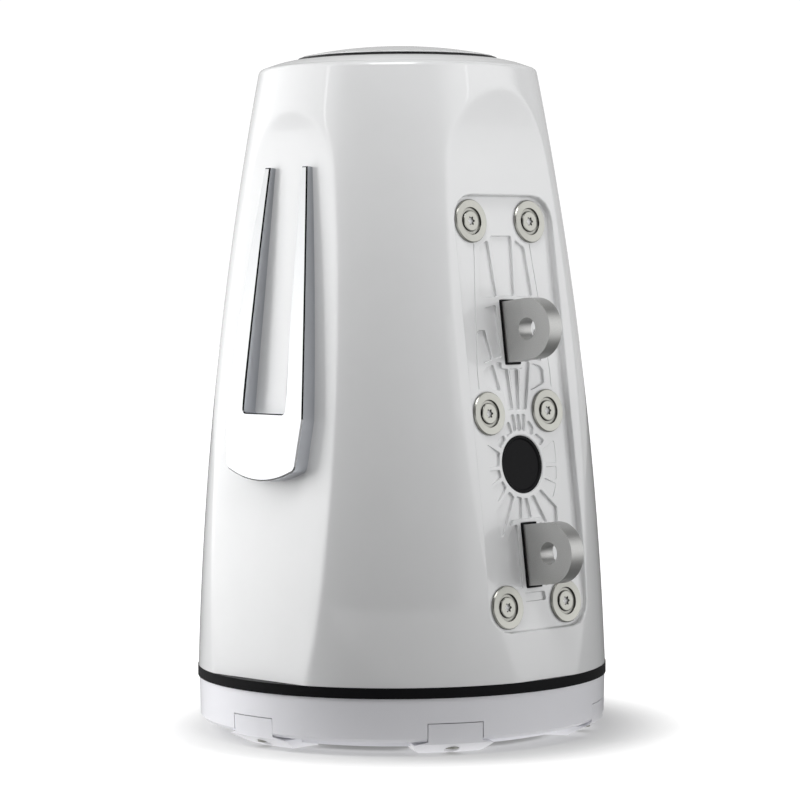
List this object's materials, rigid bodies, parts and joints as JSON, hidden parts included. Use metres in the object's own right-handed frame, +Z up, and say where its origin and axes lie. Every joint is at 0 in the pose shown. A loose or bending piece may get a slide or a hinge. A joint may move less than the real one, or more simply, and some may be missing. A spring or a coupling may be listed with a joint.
{
  "type": "marine tower speaker",
  "caption": "White tapered speaker pod standing on its round spoked grille, with chrome fork trims, a recessed pad with clamp lugs and a cable port.",
  "frame": {"origin": "on the housing's axis, in the plane of the six grille feet that it stands on", "axes": "+Z up from the grille to the end cap, +X out of the mounting pad, the fork trims on -Y and +Y"},
  "size_m": [0.2166, 0.2, 0.332],
  "materials": {
    "gloss_white": "gloss moulded white, clear gelcoat look",
    "satin_white": "moulded white",
    "chrome": "mirror-plated plastic",
    "bead_blasted": "bead-blasted, clear anodised",
    "stainless": "satin stainless steel",
    "zinc_steel": "zinc-plated steel",
    "black_rubber": "matt black rubber",
    "black_plastic": "matt black moulded plastic",
    "ferrite": "ground ferrite",
    "cone_poly": "mica-filled polypropylene, pale grey",
    "spider_cloth": "treated cotton",
    "copper": "enamelled copper wire",
    "dome": "titanium-coated film",
    "circuit_board": "green glass-epoxy board",
    "capacitor_film": "yellow film wrap",
    "resistor_body": "cement body",
    "tinned_brass": "tinned",
    "foam": "open-cell damping pad"
  },
  "bodies": {
    "pod": {"backbone_plate": "stainless", "backbone_rivet_nuts": "zinc_steel", "bezel_screws": "stainless", "cable_port_grommet": "black_rubber", "crossover_board": "circuit_board", "crossover_capacitor": "capacitor_film", "crossover_inductor": "copper", "crossover_resistor": "resistor_body", "crossover_screws": "zinc_steel", "crossover_standoffs": "tinned_brass", "damping_pad": "foam", "driver_basket": "black_plastic", "driver_gasket": "black_rubber", "driver_screws": "stainless", "end_cap_disc": "gloss_white", "end_cap_ring": "black_plastic", "fork_trim_left": "chrome", "fork_trim_right": "chrome", "front_bezel_ring": "satin_white", "grille": "satin_white", "grille_badge": "satin_white", "grille_screws": "stainless", "housing_shell": "gloss_white", "lug_gasket_lower": "black_rubber", "lug_gasket_upper": "black_rubber", "lug_screws_lower": "zinc_steel", "lug_screws_upper": "zinc_steel", "magnet_boot": "black_rubber", "magnet_ring": "ferrite", "mount_lug_lower": "bead_blasted", "mount_lug_upper": "bead_blasted", "mount_screws": "stainless", "mount_washers": "stainless", "pole_yoke": "zinc_steel", "seam_gasket": "black_rubber", "terminal_block": "black_plastic", "terminal_tabs": "tinned_brass", "top_plate": "zinc_steel", "trim_push_nuts_left": "zinc_steel", "trim_push_nuts_right": "zinc_steel", "tweeter_faceplate": "black_plastic", "tweeter_housing": "black_plastic", "tweeter_magnet": "ferrite", "tweeter_post": "zinc_steel"},
    "cone_assembly": {"cone": "cone_poly", "voice_coil_former": "dome", "voice_coil": "copper", "surround": "black_rubber", "spider": "spider_cloth"},
    "tweeter_diaphragm": {"tweeter_dome": "dome", "tweeter_coil": "copper"}
  },
  "joints": [
    {"name": "cone_slide", "type": "slide", "parent": "pod", "child": "cone_assembly", "axis": [0, 0, 1], "range_m": [-0.003, 0.003], "stiffness_N_per_m": 2500, "deforming": ["surround", "spider"]},
    {"name": "tweeter_slide", "type": "slide", "parent": "pod", "child": "tweeter_diaphragm", "axis": [0, 0, 1], "range_m": [-0.0003, 0.0003], "stiffness_N_per_m": 1000}
  ]
}
